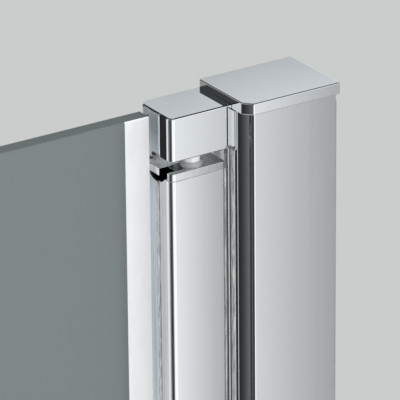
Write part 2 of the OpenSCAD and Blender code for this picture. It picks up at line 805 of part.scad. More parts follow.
module closing_magnet() {
    color("dimgray") between(edge_seal_z0, glass_z1)
        translate([closing_face_x + seal_t, chamber_y0]) magnet_section();
}

// Magnet strip in its chamber, from the chamber's front corner
module magnet_section() {
    translate([strip_gap, strip_gap])
        square([magnet_w - 2 * strip_gap, chamber_y1 - chamber_y0 - 2 * strip_gap]);
}

// Bar handle on its two posts; s is -1 in front of the glass and 1 behind it
module handle(y_post, s) {
    y_bar = y_post + s * (hand_space + bar_r);
    translate([handle_x, 0, 0]) difference() {
        union() {
            translate([0, y_bar, 0])
                bar_z(post_zs[0] - handle_tail, post_zs[1] + handle_tail, bar_r);
            for (z = post_zs) translate([0, 0, z])
                bar_y(min(y_post, y_bar), max(y_post, y_bar), post_r);
        }
        for (z = post_zs) translate([0, 0, z]) {
            bar_y(min(y_post - s * 1, y_post + s * (stud_bite + 1)),
                  max(y_post - s * 1, y_post + s * (stud_bite + 1)), stud_r + screw_gap);
            translate([0, y_post + s * grub_at, 0])
                bar_z(-post_r - 1, -stud_r, grub_r + screw_gap);
        }
    }
}

module outer_handle() { color("lightgray") handle(outer_post_y, -1); }
module inner_handle() { color("lightgray") handle(inner_post_y, 1); }

module handle_studs() {
    color("gray") for (z = post_zs) translate([handle_x, 0, z])
        bar_y(outer_post_y - stud_bite, inner_post_y + stud_bite, stud_r);
}

module handle_washers() {
    color("whitesmoke") for (z = post_zs) translate([handle_x, 0, z]) {
        washer(glass_y0 - washer_t, glass_y0, glass_y0 + collar_len);
        washer(glass_y1, glass_y1 + washer_t, glass_y1 - collar_len);
    }
}

// Washer between two faces, with a collar that reaches to y_collar in the glass hole
module washer(y0, y1, y_collar) {
    difference() {
        union() {
            bar_y(y0, y1, washer_r);
            bar_y(min(y0, y_collar), max(y1, y_collar), glass_hole_r - seat);
        }
        bar_y(min(y0, y_collar) - 1, max(y1, y_collar) + 1, stud_r + screw_gap);
    }
}

module handle_grub_screws() {
    color("dimgray") for (z = post_zs)
        for (y = [outer_post_y - grub_at, inner_post_y + grub_at])
            translate([handle_x, y, z]) bar_z(-post_r + 0.5, -stud_r - seat, grub_r);
}

module strike_channel() { color("silver") on_strike_wall() channel(); }
module strike_cover() { color("gainsboro") on_strike_wall() cover(strike_w); }
module strike_cover_screws() { color("gray") on_strike_wall() adjusting_screws(); }
module strike_screw_covers() { color("gainsboro") on_strike_wall() head_covers(); }
module strike_top_cap() { color("lightgray") on_strike_wall() wall_cap(strike_w); }
module strike_bottom_cap() { color("lightgray") on_strike_wall() foot_cap(strike_w); }

// Strike seal: base on the cover's flank, magnet chamber, and the stop lip behind the leaf
module strike_seal() {
    stop_y0 = glass_y1 + seal_t + stop_gap;
    color("lightcyan") between(rail_h, skirt_z - seat) {
        difference() {
            translate([strike_x, glass_y0 - seal_t])
                square([strike_face_x - strike_x, stop_y0 + stop_t - glass_y0 + seal_t]);
            translate([strike_base_x + seal_t, chamber_y0])
                square([magnet_w, chamber_y1 - chamber_y0]);
        }
        translate([strike_face_x - eps, stop_y0])
            square([closing_face_x + chamber_w - strike_face_x, stop_t]);
    }
}

module strike_magnet() {
    color("dimgray") between(rail_h + 1, skirt_z - 1)
        translate([strike_base_x + seal_t, chamber_y0]) magnet_section();
}

// Threshold rail on the tray, under the leaf and the bottom block
module threshold_rail() {
    y0 = block_y0 - rail_land;
    y1 = block_y1 + rail_land;
    x0 = strike_x + cap_proud;
    color("gainsboro") translate([x0, 0, 0]) rotate([90, 0, 90]) linear_extrude(jamb_x - x0)
        polygon([[y0 - rail_over, 0], [y1 + rail_over, 0], [y1 + rail_over, rail_edge_h], [y1, rail_h],
                 [y0, rail_h], [y0 - rail_over, rail_edge_h]]);
}

wall_channel();
cover_profile();
cover_screws();
screw_covers();
top_cap();
bottom_cap();
hinge_jamb();
jamb_seal();
top_pivot_block();
bottom_pivot_block();
block_screws();
bottom_pivot_pin();
lower_lift_cam();
top_pivot_pin();
hinge_profile();
top_end_cap();
bottom_end_cap();
end_cap_screws();
top_bush();
upper_lift_cam();
glass_pane();
bonding_tape();
flank_gasket();
hinge_lip_seal();
drip_seal();
closing_seal();
closing_magnet();
outer_handle();
inner_handle();
handle_studs();
handle_washers();
handle_grub_screws();
strike_channel();
strike_cover();
strike_cover_screws();
strike_screw_covers();
strike_top_cap();
strike_bottom_cap();
strike_seal();
strike_magnet();
threshold_rail();
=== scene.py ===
# %% [markdown]
# # A pivot shower door
#
# The door hangs in a niche between two walls: a glass leaf in a narrow hinge profile,
# carried by a pivot block at its top and foot, with chamfered wall covers at both
# sides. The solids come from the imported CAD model, and they stay where they are. This
# script dresses them: it rounds the edges that a polisher would round, builds the
# pieces that need more detail, gives every piece its real finish, and lights the whole
# like a small studio.

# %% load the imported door
import math

import bmesh
import bpy
from mathutils import Matrix, Vector


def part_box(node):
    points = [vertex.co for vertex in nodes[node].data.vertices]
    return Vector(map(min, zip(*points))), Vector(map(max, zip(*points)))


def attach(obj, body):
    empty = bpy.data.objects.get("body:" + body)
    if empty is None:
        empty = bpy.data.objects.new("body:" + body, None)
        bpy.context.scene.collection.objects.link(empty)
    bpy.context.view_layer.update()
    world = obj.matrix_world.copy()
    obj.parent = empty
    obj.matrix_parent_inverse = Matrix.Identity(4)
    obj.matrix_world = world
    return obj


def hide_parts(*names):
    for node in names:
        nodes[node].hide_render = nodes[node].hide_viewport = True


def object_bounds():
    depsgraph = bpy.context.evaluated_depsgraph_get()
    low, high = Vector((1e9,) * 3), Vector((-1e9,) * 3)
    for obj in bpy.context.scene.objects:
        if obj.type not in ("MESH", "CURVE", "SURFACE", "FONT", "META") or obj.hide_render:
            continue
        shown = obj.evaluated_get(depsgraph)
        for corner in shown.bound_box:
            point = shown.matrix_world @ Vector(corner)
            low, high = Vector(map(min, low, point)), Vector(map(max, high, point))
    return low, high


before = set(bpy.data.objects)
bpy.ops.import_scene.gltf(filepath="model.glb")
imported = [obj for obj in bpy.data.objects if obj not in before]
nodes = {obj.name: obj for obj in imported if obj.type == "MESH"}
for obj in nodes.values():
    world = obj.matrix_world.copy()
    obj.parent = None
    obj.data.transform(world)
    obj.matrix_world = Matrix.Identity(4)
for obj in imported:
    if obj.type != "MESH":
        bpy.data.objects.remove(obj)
cad_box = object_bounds()
MM = 0.001
print(len(nodes), "solids,", [round(v, 4) for v in cad_box[1] - cad_box[0]], "m")

# %% [markdown]
# ## The camera
#
# The photograph looks down on the top of the hinge side through a long lens. A camera
# can be placed by hand until the picture agrees, but here its turn, tilt and roll were
# solved from the door's edges, so the three angles and one known point place it.

# %% the camera
TURN, TILT, ROLL = (math.radians(angle) for angle in (32.68, 23.33, -0.55))
LENS_PX, PICTURE_PX = 4346.0, 400.0
SENSOR_MM = 36
# A point of the cap's top, its pixel, and its depth in front of the camera
KNOWN_POINT = Vector((-50.57, -15.56, 2000.0)) * MM
KNOWN_PIXEL = (240.8, 103.3)
DISTANCE = 1926.0 * MM


def camera_axes(turn, tilt, roll):
    """Right, down and forward of a camera, as unit vectors."""
    right = Vector((math.cos(turn), -math.sin(turn), 0))
    forward = Vector((math.sin(turn) * math.cos(tilt), math.cos(turn) * math.cos(tilt),
                      -math.sin(tilt)))
    down = forward.cross(right)
    across = right * math.cos(roll) - down * math.sin(roll)
    return across, right * math.sin(roll) + down * math.cos(roll), forward


across, down, forward = camera_axes(TURN, TILT, ROLL)
half = PICTURE_PX / 2
ray = (across * ((KNOWN_PIXEL[0] - half) / LENS_PX)
       + down * ((KNOWN_PIXEL[1] - half) / LENS_PX) + forward)
camera_data = bpy.data.cameras.new("long lens")
camera_data.sensor_width = SENSOR_MM
camera_data.lens = LENS_PX * SENSOR_MM / PICTURE_PX
camera_data.clip_start, camera_data.clip_end = 0.05, 60
camera = bpy.data.objects.new("camera", camera_data)
bpy.context.scene.collection.objects.link(camera)
pose = Matrix((across, -down, -forward)).transposed().to_4x4()
pose.translation = KNOWN_POINT - ray * DISTANCE
camera.matrix_world = pose
bpy.context.scene.camera = camera
print("camera at", [round(v, 3) for v in pose.translation], "lens", round(camera_data.lens, 1))

# %% [markdown]
# ## Two helpers
#
# Colours are written as the hex values that a picture editor shows. The renderer wants
# linear light, so one function turns them. A second function adds one node to a tree,
# with its settings and its links, for materials and for geometry alike.


# %% colours and nodes
def light_of(level):
    """One sRGB level, 0 to 1, as linear light."""
    return level / 12.92 if level <= 0.04045 else ((level + 0.055) / 1.055) ** 2.4


def linear(hex_colour):
    """An sRGB hex colour as linear RGBA."""
    text = hex_colour.lstrip("#")
    return tuple(light_of(int(text[i:i + 2], 16) / 255) for i in (0, 2, 4)) + (1.0,)


def add(tree, kind, **given):
    """One node. A setting comes by its own name, and an input by its socket's name, with _
    for a space, or as in0, in1, ... A socket that is given for an input is linked to it."""
    node = tree.nodes.new(kind)
    for name in [name for name in given if hasattr(node, name)]:
        setattr(node, name, given.pop(name))
    for name, value in given.items():
        numbered = name[:2] == "in" and name[2:].isdigit()
        key = int(name[2:]) if numbered else name.replace("_", " ")
        if isinstance(value, bpy.types.NodeSocket):
            tree.links.new(value, node.inputs[key])
        else:
            node.inputs[key].default_value = value
    return node


print("mid grey", [round(v, 3) for v in linear("#808080")[:3]])

# %% [markdown]
# ## The studio
#
# Polished metal shows nothing of its own: it shows the room. The photograph's reflections
# tell of pale panels in front and to the right of the door, darkness behind the camera
# and to the left, and a soft ceiling. Panels could be built as objects, but a world that
# reads the ray's direction keeps the scene small, with a colour ramp for a row of them.
# Rays that go down meet one row over the compass, bearings in degrees from the door's
# front. Rays that go up meet a row over the height, one for the bright side and one for
# the dark side, shaded by another row over the compass. Reflections see that room, the
# camera and clear pieces see plain pale grey, and matt surfaces get even light, so
# strong that with the lamps a colour renders about as it is written.

# %% the room below the horizon
BACKDROP = "#CBCCCC"
# (bearing, brightness) below the horizon. The darkest panel is what makes a polished
# flank black, and each steep step beside it shows as a line along a rounded edge.
LOW_ROOM = ((-180, .70), (-156, .45), (-150, .28), (-142, .34), (-136, .9), (-131, 1.15),
            (-121, 1.15), (-117, .10), (-112, .008), (-92, .008), (-85, .015), (-77, .024),
            (-70, .037), (-63, .067), (-56, .105), (-48, .165), (-44, .17), (-35.8, .18),
            (-34.4, .78), (-32.5, .82), (-30, 1.1), (28, 1.15), (32.4, 1.12), (33.0, .93),
            (33.42, .77), (34.46, .35), (35.2, .24), (45, .20), (60, .30), (90, .45),
            (120, .55), (180, .70))
COMPASS = (-180, 180)
# What a ramp's white stands for, since a ramp can't hold more than 1
BRIGHTEST = 1.2
ROOM_TINT = (0.965, 0.99, 1.01)


def panels_over(tree, value, span, panels):
    """The room's colour over value, which runs over span, from (spot, brightness) pairs."""
    place = add(tree, "ShaderNodeMapRange", Value=value, From_Min=span[0], From_Max=span[1])
    node = add(tree, "ShaderNodeValToRGB", Fac=place.outputs["Result"])
    elements = node.color_ramp.elements
    while len(elements) < len(panels):
        elements.new(0.5)
    for element, (spot, brightness) in zip(elements, panels):
        element.position = (spot - span[0]) / (span[1] - span[0])
        element.color = tuple(brightness / BRIGHTEST * tint for tint in ROOM_TINT) + (1,)
    return node.outputs["Color"]


bpy.context.scene.view_settings.view_transform = "Standard"
world = bpy.data.worlds.new("studio")
bpy.context.scene.world = world
world.use_nodes = True
tree = world.node_tree
tree.nodes.clear()
direction = add(tree, "ShaderNodeTexCoord").outputs["Generated"]
parts = add(tree, "ShaderNodeSeparateXYZ", Vector=direction)
back = add(tree, "ShaderNodeMath", operation="MULTIPLY", in0=parts.outputs["Y"], in1=-1.0)
compass = add(tree, "ShaderNodeMath", operation="ARCTAN2", in0=parts.outputs["X"],
              in1=back.outputs[0])
compass = add(tree, "ShaderNodeMath", operation="DEGREES", in0=compass.outputs[0]).outputs[0]
height = add(tree, "ShaderNodeMath", operation="ARCSINE", in0=parts.outputs["Z"])
height = add(tree, "ShaderNodeMath", operation="DEGREES", in0=height.outputs[0]).outputs[0]
low = panels_over(tree, compass, COMPASS, LOW_ROOM)
print(len(LOW_ROOM), "panels and gaps below the horizon")

# %% the room above the horizon
# (height, brightness) above the horizon, and (bearing, shade) over it all. The fine steps
# near 21 degrees and 146 degrees are the soft clouds on top of the block and the cap.
BRIGHT_SIDE = ((0, 1.0), (12, 1.0), (19, .40), (20.8, .42), (21.48, .50), (21.62, .56),
               (21.75, .62), (22.01, .71), (22.14, .75), (22.6, .84), (23.6, .84), (25, .02),
               (62, .02), (75, .5), (90, 1.0))
DARK_SIDE = ((0, 1.1), (14, 1.0), (24, .25), (30, .04), (62, .04), (75, .5), (90, 1.0))
SHADE = ((-180, 1.1), (-172, .30), (-165, .11), (-140, .10), (-125, .35), (-100, .9),
         (-70, .7), (-50, .2), (-20, .2), (0, 1.0), (140, 1.16), (144, 1.38),
         (145.75, 1.36), (146.3, 1.22), (146.8, 1.06), (147.1, 1.0), (152, 1.0), (180, 1.2))
UPWARDS = (0, 90)
# Bearings over which the dark side fades in and out, and heights over which up takes over
FADE_IN, FADE_OUT = {"From_Min": 3.0, "From_Max": 12.0}, {"From_Min": 128.0, "From_Max": 136.0}
HORIZON = {"From_Min": -2.0, "From_Max": 2.0}
bright_side = panels_over(tree, height, UPWARDS, BRIGHT_SIDE)
dark_side = panels_over(tree, height, UPWARDS, DARK_SIDE)
shade = panels_over(tree, compass, COMPASS, SHADE)
on_dark_side = add(tree, "ShaderNodeMapRange", Value=compass, **FADE_IN)
past_it = add(tree, "ShaderNodeMapRange", Value=compass, To_Min=1.0, To_Max=0.0, **FADE_OUT)
dark_part = add(tree, "ShaderNodeMath", operation="MULTIPLY",
                in0=on_dark_side.outputs["Result"], in1=past_it.outputs["Result"])
high = add(tree, "ShaderNodeMix", data_type="RGBA", in0=dark_part.outputs[0], in6=bright_side,
           in7=dark_side)
high = add(tree, "ShaderNodeMix", data_type="RGBA", blend_type="MULTIPLY", in0=1.0,
           in6=high.outputs[2], in7=shade)
is_up = add(tree, "ShaderNodeMapRange", Value=height, **HORIZON)
room = add(tree, "ShaderNodeMix", data_type="RGBA", in0=is_up.outputs["Result"], in6=low,
           in7=high.outputs[2])
print(len(BRIGHT_SIDE), "steps up the bright side,", len(DARK_SIDE), "up the dark side")

# %% what each ray sees
EVEN_LIGHT = 0.85
studio = add(tree, "ShaderNodeBackground", Color=room.outputs[2], Strength=BRIGHTEST)
plain = add(tree, "ShaderNodeBackground", Color=linear(BACKDROP), Strength=1.0)
even = add(tree, "ShaderNodeBackground", Color=(1, 1, 1, 1), Strength=EVEN_LIGHT)
way = add(tree, "ShaderNodeLightPath")
seen = add(tree, "ShaderNodeMath", operation="MAXIMUM", in0=way.outputs["Is Camera Ray"],
           in1=way.outputs["Is Transmission Ray"])
first = add(tree, "ShaderNodeMixShader", in0=way.outputs["Is Glossy Ray"], in1=even.outputs[0],
            in2=studio.outputs[0])
last = add(tree, "ShaderNodeMixShader", in0=seen.outputs[0], in1=first.outputs[0],
           in2=plain.outputs[0])
add(tree, "ShaderNodeOutputWorld", Surface=last.outputs[0])
print("world with", len(tree.nodes), "nodes")

# %% [markdown]
# ## Lamps and floor
#
# Two large soft lamps give the matt pieces a light side and a shadow on the floor. They
# are hidden from reflections, which have the room already. The floor is a pale disc that
# fades out at its rim, so it has no edge in any view.


# %% lamps
def soft_lamp(name, place, target, size, watts):
    """A square area lamp at place that looks at target, kept out of reflections."""
    data = bpy.data.lights.new(name, "AREA")
    data.energy, data.size = watts, size
    lamp = bpy.data.objects.new(name, data)
    lamp.location = place
    lamp.rotation_euler = (Vector(target) - Vector(place)).to_track_quat("-Z", "Y").to_euler()
    lamp.visible_glossy = False
    bpy.context.scene.collection.objects.link(lamp)


soft_lamp("key lamp", (-2.2, -2.6, 3.6), (-0.4, 0, 1.2), size=2.2, watts=38)
soft_lamp("fill lamp", (2.4, -1.6, 2.6), (-0.4, 0, 1.0), size=2.0, watts=14)
print(len(bpy.data.lights), "lamps")

# %% floor
FLOOR_RADIUS, FLOOR_DROP = 3.4, 0.0006
DOOR_MIDDLE = (cad_box[0].x + cad_box[1].x) / 2
# The shares of its radius between which the floor fades out
FADE_FROM, FADE_TO = 0.45, 0.97
bpy.ops.mesh.primitive_circle_add(vertices=96, radius=FLOOR_RADIUS, fill_type="NGON",
                                  location=(DOOR_MIDDLE, 0, -FLOOR_DROP))
floor = bpy.context.object
floor.name = "floor"
floor_paint = bpy.data.materials.new("pale studio floor")
floor_paint.use_nodes = True
tree = floor_paint.node_tree
tree.nodes.clear()
where = add(tree, "ShaderNodeTexCoord").outputs["Object"]
out = add(tree, "ShaderNodeVectorMath", operation="LENGTH", in0=where)
rim = add(tree, "ShaderNodeMapRange", interpolation_type="SMOOTHSTEP",
          Value=out.outputs["Value"], From_Min=FLOOR_RADIUS * FADE_FROM,
          From_Max=FLOOR_RADIUS * FADE_TO)
paint = add(tree, "ShaderNodeBsdfDiffuse", Color=linear("#BDBEBE"))
clear = add(tree, "ShaderNodeBsdfTransparent")
both = add(tree, "ShaderNodeMixShader", in0=rim.outputs["Result"], in1=paint.outputs[0],
           in2=clear.outputs[0])
add(tree, "ShaderNodeOutputMaterial", Surface=both.outputs[0])
floor.data.materials.append(floor_paint)
print("floor", FLOOR_RADIUS, "m")

# %% [markdown]
# ## Finishes
#
# Every finish starts from the real one: what the material is, and what its surface went
# through. One noise leads each finish. It runs on Object coordinates, and the sizes of
# its marks are given in millimetres along x, y and z, so die lines that are 0.4 mm apart
# in the workshop are 0.4 mm apart here.

# %% the start of a finish
# A noise keeps near its middle, so this part of its range is stretched to the whole
MIDDLE = {"From_Min": 0.3, "From_Max": 0.7}


def finish_of(name, colour, roughness, metallic=0.0, *, marks_mm, detail=3, rough=None,
              tones=None, bump_mm=None, **sockets):
    """A material with one Principled shader, whose other inputs come by their names. A
    noise, with marks of these sizes along x, y and z, leads its roughness between two
    values, its colour between two tones, and a bump."""
    material = bpy.data.materials.new(name)
    material.use_nodes = True
    tree = material.node_tree
    tree.nodes.clear()
    shader = add(tree, "ShaderNodeBsdfPrincipled", Base_Color=linear(colour),
                 Roughness=roughness, Metallic=metallic, **sockets)
    add(tree, "ShaderNodeOutputMaterial", Surface=shader.outputs[0])
    where = add(tree, "ShaderNodeTexCoord").outputs["Object"]
    marks_per_metre = [round(1 / (size * MM)) for size in marks_mm]
    stretched = add(tree, "ShaderNodeMapping", Vector=where, Scale=marks_per_metre)
    noise = add(tree, "ShaderNodeTexNoise", Vector=stretched.outputs[0], Scale=1.0,
                Detail=detail).outputs[0]
    if rough:
        led = add(tree, "ShaderNodeMapRange", Value=noise, To_Min=rough[0], To_Max=rough[1],
                  **MIDDLE)
        tree.links.new(led.outputs["Result"], shader.inputs["Roughness"])
    if tones:
        share = add(tree, "ShaderNodeMapRange", Value=noise, **MIDDLE)
        tone = add(tree, "ShaderNodeMix", data_type="RGBA", in0=share.outputs["Result"],
                   in6=linear(tones[0]), in7=linear(tones[1]))
        tree.links.new(tone.outputs[2], shader.inputs["Base Color"])
    if bump_mm:
        bump = add(tree, "ShaderNodeBump", Height=noise, Distance=bump_mm * MM)
        tree.links.new(bump.outputs[0], shader.inputs["Normal"])
    return material


print("a noise from", MIDDLE["From_Min"], "to", MIDDLE["From_Max"], "leads each finish")

# %% [markdown]
# ### Aluminium
#
# The profiles are drawn through a die, polished and bright anodised. That leaves a
# mirror that is very slightly milky, with faint lines along the bar from the die. The
# wall channels stay as the die left them, and cut ends are sawn and tumbled.

# %% aluminium
# A mirror with a trace of milk, its die lines 0.4 mm apart and 250 mm long
bright_aluminium = finish_of("bright anodised extruded aluminium", "#F0F1F2", 0.07, 1.0,
                             marks_mm=(0.4, 0.4, 250), rough=(0.06, 0.08),
                             tones=("#EFF0F1", "#F1F2F3"), bump_mm=0.00002)
# Grey and dull as it came from the die, with lines 0.6 mm apart
mill_aluminium = finish_of("mill finish extruded aluminium", "#B9BBBD", 0.4, 1.0,
                           marks_mm=(0.625, 0.625, 200), detail=4, rough=(0.32, 0.5),
                           tones=("#A9ABAD", "#C6C8CA"), bump_mm=0.006)
# Matt and rough. The saw's marks are 1.1 mm wide here, coarser than real ones, to show
sawn_aluminium = finish_of("sawn and tumbled aluminium", "#DCDEDF", 0.4, 1.0,
                           marks_mm=(1.111, 1.111, 1.111), detail=5, rough=(0.3, 0.5),
                           tones=("#B0B2B3", "#FAFBFC"), bump_mm=0.12)
# A duller mirror: nobody polishes the flank behind the glass. Its lines are 0.6 mm apart
drawn_flank = finish_of("aluminium as drawn, unpolished flank", "#D3D5D6", 0.12, 1.0,
                        marks_mm=(0.625, 0.625, 83), detail=2, rough=(0.08, 0.16),
                        tones=("#C2C4C5", "#E2E4E5"))
print(bright_aluminium.name, "/", mill_aluminium.name, "/", sawn_aluminium.name, "/",
      drawn_flank.name)

# %% [markdown]
# ### Chrome, steel and acetal
#
# Caps, pivot blocks and handles are castings, ground, polished and chrome plated: a
# clean mirror with a trace of orange peel. The screws and pins are stainless steel,
# turned, with a soft shine. Bushes and washers are acetal, moulded, a little waxy.

# %% chrome, steel and acetal
# A hard, clean mirror, with orange peel in spots of 4 mm
chrome = finish_of("polished chrome plate", "#EFF1F2", 0.05, 1.0, marks_mm=(3.85, 3.85, 3.85),
                   detail=2, rough=(0.035, 0.065), bump_mm=0.0012)
# A soft shine in fine rings, one for every third of a millimetre that the lathe moved
steel = finish_of("turned stainless steel", "#C2C1BD", 0.26, 1.0,
                  marks_mm=(1.111, 1.111, 0.3333), rough=(0.2, 0.34),
                  tones=("#B5B4B0", "#CDCCC9"), bump_mm=0.003)
# White and waxy, with the mould's tool marks 1.4 mm apart
acetal = finish_of("moulded white acetal", "#FAFAF8", 0.36, IOR=1.48,
                   marks_mm=(1.429, 1.429, 1.429), rough=(0.3, 0.44),
                   tones=("#F5F5F3", "#FDFDFC"), bump_mm=0.004)
# Painted shade: the same acetal darkened to grey, for the bush's flange under the block
shaded_acetal = finish_of("white acetal darkened as painted shade", "#A9ABAC", 0.34, IOR=1.48,
                        marks_mm=(1.429, 1.429, 1.429), rough=(0.28, 0.42),
                        tones=("#A2A4A5", "#B0B2B3"), bump_mm=0.004)
print(chrome.name, "/", steel.name, "/", acetal.name, "/", shaded_acetal.name)

# %% [markdown]
# ### Glass, seals and tape
#
# The leaf is tempered safety glass, satin etched, so that it glows grey-green and shows
# only blurred shapes behind it. Along the hinge it is left clear over the white bonding
# tape, and its sides are ground. The seals are clear soft PVC, extruded, and the
# magnets in them are rubber filled with ferrite.

# %% glass, seals and tape
# Silky grey-green. Real etching is far finer than 0.3 mm, which is as coarse as it needs
# to be to show
satin_glass = finish_of("satin etched safety glass", "#899492", 0.42, IOR=1.52,
                        Transmission_Weight=0.35, marks_mm=(0.2857, 0.2857, 0.2857),
                        rough=(0.38, 0.48), tones=("#86918F", "#8C9795"), bump_mm=0.003)
# White with little shine: the tape behind the glass, rubbed on in strokes of 4 by 17 mm
band_glass = finish_of("clear glass over white tape", "#F9FAFC", 0.5, IOR=1.52,
                       Specular_IOR_Level=0.12, marks_mm=(4.17, 4.17, 16.7),
                       tones=("#F6F8FA", "#FCFDFE"))
# A grey-green matt edge, with grinding marks of 0.8 mm
ground_glass = finish_of("ground glass edge", "#626D6A", 0.4, IOR=1.52,
                         Specular_IOR_Level=0.25, marks_mm=(0.833, 0.833, 0.833), detail=4,
                         rough=(0.35, 0.5), tones=("#5F6A67", "#65706D"), bump_mm=0.006)
# Pale and cloudy, in clouds of 22 mm. It is drawn solid: all that could shine through is
# the glass or the metal that it is pushed onto
clear_pvc = finish_of("clear soft extruded PVC", "#D9DEDC", 0.22, IOR=1.53,
                      marks_mm=(22, 22, 22), rough=(0.17, 0.3), tones=("#BCC2C0", "#CDD2D0"))
# The thin lips are strained where a thumb pressed them in: streaks of 0.8 by 9 mm
pressed_pvc = finish_of("clear PVC lip, pressed in by hand", "#C9CECD", 0.24, IOR=1.53,
                        Transmission_Weight=0.25, marks_mm=(0.769, 0.769, 9.1),
                        rough=(0.16, 0.36), tones=("#8A8F8E", "#FBFCFC"), bump_mm=0.12)
# White and matt. Its cells are 0.4 mm wide here, coarser than real ones, to show
foam_tape = finish_of("white acrylic foam tape", "#E4E6E6", 0.6,
                      marks_mm=(0.3846, 0.3846, 0.3846), tones=("#DADCDC", "#ECEEEE"),
                      bump_mm=0.01)
# Dark and matt, with flow marks of 0.6 by 3 mm from the die
magnet_rubber = finish_of("ferrite filled rubber strip", "#353536", 0.62,
                          marks_mm=(0.5556, 0.5556, 3.33), rough=(0.5, 0.7),
                          tones=("#2C2C2D", "#3F3F40"), bump_mm=0.008)
# Painted shade: nearly black, for the dark of a deep gap, with a faint sheen in spots of 2 mm
gap_shade_black = finish_of("near black painted shade of a deep gap", "#090A0B", 0.4, Specular_IOR_Level=0.1,
                         marks_mm=(2, 2, 2), rough=(0.34, 0.48), tones=("#060708", "#0C0D0E"),
                         bump_mm=0.006)
print(satin_glass.name, "/", clear_pvc.name, "/", foam_tape.name, "/", magnet_rubber.name)

# %% [markdown]
# ### The pane's side at the hinge
#
# Light that enters a pane runs inside it and comes out at its sides. The side by the
# hinge glows with it, but for its top end. Tracing that light is slow and noisy, so the
# side shines by itself.

# %% the lit side of the pane
# How strongly the side shines, and how far below the pane's top that fades, in mm
GLOW, GLOW_AT_TOP = 0.85, 0.16
FADES_FROM, FADES_TO = 38.6, 8.6
pane_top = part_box("glass_pane")[1].z
# Pale blue-grey, with ripples of 1.4 mm across the glass
lit_edge = finish_of("clear glass side, lit by the pane", "#D3DADD", 0.4,
                     Emission_Color=linear("#C3CBCE"), Emission_Strength=0.75,
                     marks_mm=(16.7, 1.429, 83), tones=("#CBD3D6", "#DBE1E4"))
tree = lit_edge.node_tree
place = add(tree, "ShaderNodeTexCoord").outputs["Object"]
high = add(tree, "ShaderNodeSeparateXYZ", Vector=place).outputs["Z"]
glow = add(tree, "ShaderNodeMapRange", Value=high, From_Min=pane_top - FADES_FROM * MM,
           From_Max=pane_top - FADES_TO * MM, To_Min=GLOW, To_Max=GLOW_AT_TOP)
shader = next(node for node in tree.nodes if node.type == "BSDF_PRINCIPLED")
tree.links.new(glow.outputs["Result"], shader.inputs["Emission Strength"])
print(lit_edge.name, "from", GLOW, "to", GLOW_AT_TOP)

# %% [markdown]
# ## Rounded copies of the solids
#
# A real edge is never sharp: polishing leaves a few tenths of a millimetre, and on a
# mirror that thin round shows as a dark or a white line. The solids have sharp edges, so
# the polished pieces are copies of them. The triangles are merged into whole faces
# first, a Bevel modifier rounds the edges, and weighted normals keep the flats flat.

# %% copies and their edges
SHARP, FLAT = math.radians(30), math.radians(0.2)
# How near two corners are one, in metres, and how near two places are the same, in mm
WELD, NEAR = 2e-6, 0.02


def merged_copy(name):
    """A bmesh of a solid, with its loose triangles merged into whole faces."""
    shape = bmesh.new()
    shape.from_mesh(nodes[name].data)
    bmesh.ops.remove_doubles(shape, verts=shape.verts, dist=WELD)
    bmesh.ops.dissolve_limit(shape, angle_limit=FLAT, verts=shape.verts, edges=shape.edges)
    return shape


def at_x(x):
    """A test for edges that lie wholly at this x, in mm."""
    return lambda edge: all(abs(end.co.x / MM - x) < NEAR for end in edge.verts)


def upright(edge):
    """Whether an edge stands."""
    first, last = (end.co for end in edge.verts)
    return (first - last).xy.length / MM < NEAR


print("edges over", round(math.degrees(SHARP)), "degrees are rounded")


# %% a piece from a copy
def piece_of(name, shape, body, finishes, stands_for, edge, rounds=2, keep=None, small=None):
    """An object from a bmesh, which takes the place of a solid. edge is the bevel's width
    in mm. Edges for which keep is true stay sharp, and those for which small is true get
    half the width."""
    weights = shape.edges.layers.float.new("bevel_weight_edge")
    for seam in shape.edges:
        turns, kept = seam.calc_face_angle(0.0) > SHARP, bool(keep and keep(seam))
        if turns and not kept:
            seam[weights] = 0.5 if small and small(seam) else 1.0
        seam.smooth = not (turns and kept)
    mesh = bpy.data.meshes.new(name)
    shape.to_mesh(mesh)
    shape.free()
    for finish in finishes:
        mesh.materials.append(finish)
    piece = bpy.data.objects.new(name, mesh)
    bpy.context.scene.collection.objects.link(piece)
    bevel = piece.modifiers.new("polished edges", "BEVEL")
    bevel.width, bevel.segments = edge * MM, rounds
    bevel.limit_method = "WEIGHT"
    bevel.miter_outer, bevel.use_clamp_overlap = "MITER_ARC", False
    bevel.face_strength_mode = "FSTR_ALL"
    flats = piece.modifiers.new("flat faces stay flat", "WEIGHTED_NORMAL")
    flats.keep_sharp, flats.use_face_influence = True, True
    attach(piece, body)
    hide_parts(stands_for)
    return piece


def plan_of(name):
    """A solid's box as seen from above, in mm: its left, front, right and back."""
    low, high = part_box(name)
    return low.x / MM, low.y / MM, high.x / MM, high.y / MM


def face_count(piece):
    """Faces of a piece with its modifiers."""
    seen = piece.evaluated_get(bpy.context.evaluated_depsgraph_get())
    return len(seen.data.polygons)


print("wall cover seen from above", [round(side, 1) for side in plan_of("cover_profile")], "mm")

# %% [markdown]
# ## Crowned faces
#
# A flat mirror shows one brightness, and the photograph's faces run from light to dark.
# They are crowned: a drawn profile always bulges, by hundredths of a millimetre on a wide
# face and by some tenths on a polished facet. Each such face is cut into strips along the
# bar, and the strips are moved out on a parabola, or leaned by a hair.

# %% crowning
# How far a point may lie off a face, in mm, and past its ends, as a share of its width
OFF_FACE, PAST_END = 2e-3, 1e-4


def cut(shape, spot, across):
    """Cuts the whole shape by the plane through spot, in metres, across a direction."""
    bmesh.ops.bisect_plane(shape, geom=shape.verts[:] + shape.edges[:] + shape.faces[:],
                           dist=1e-7, plane_co=spot, plane_no=across)


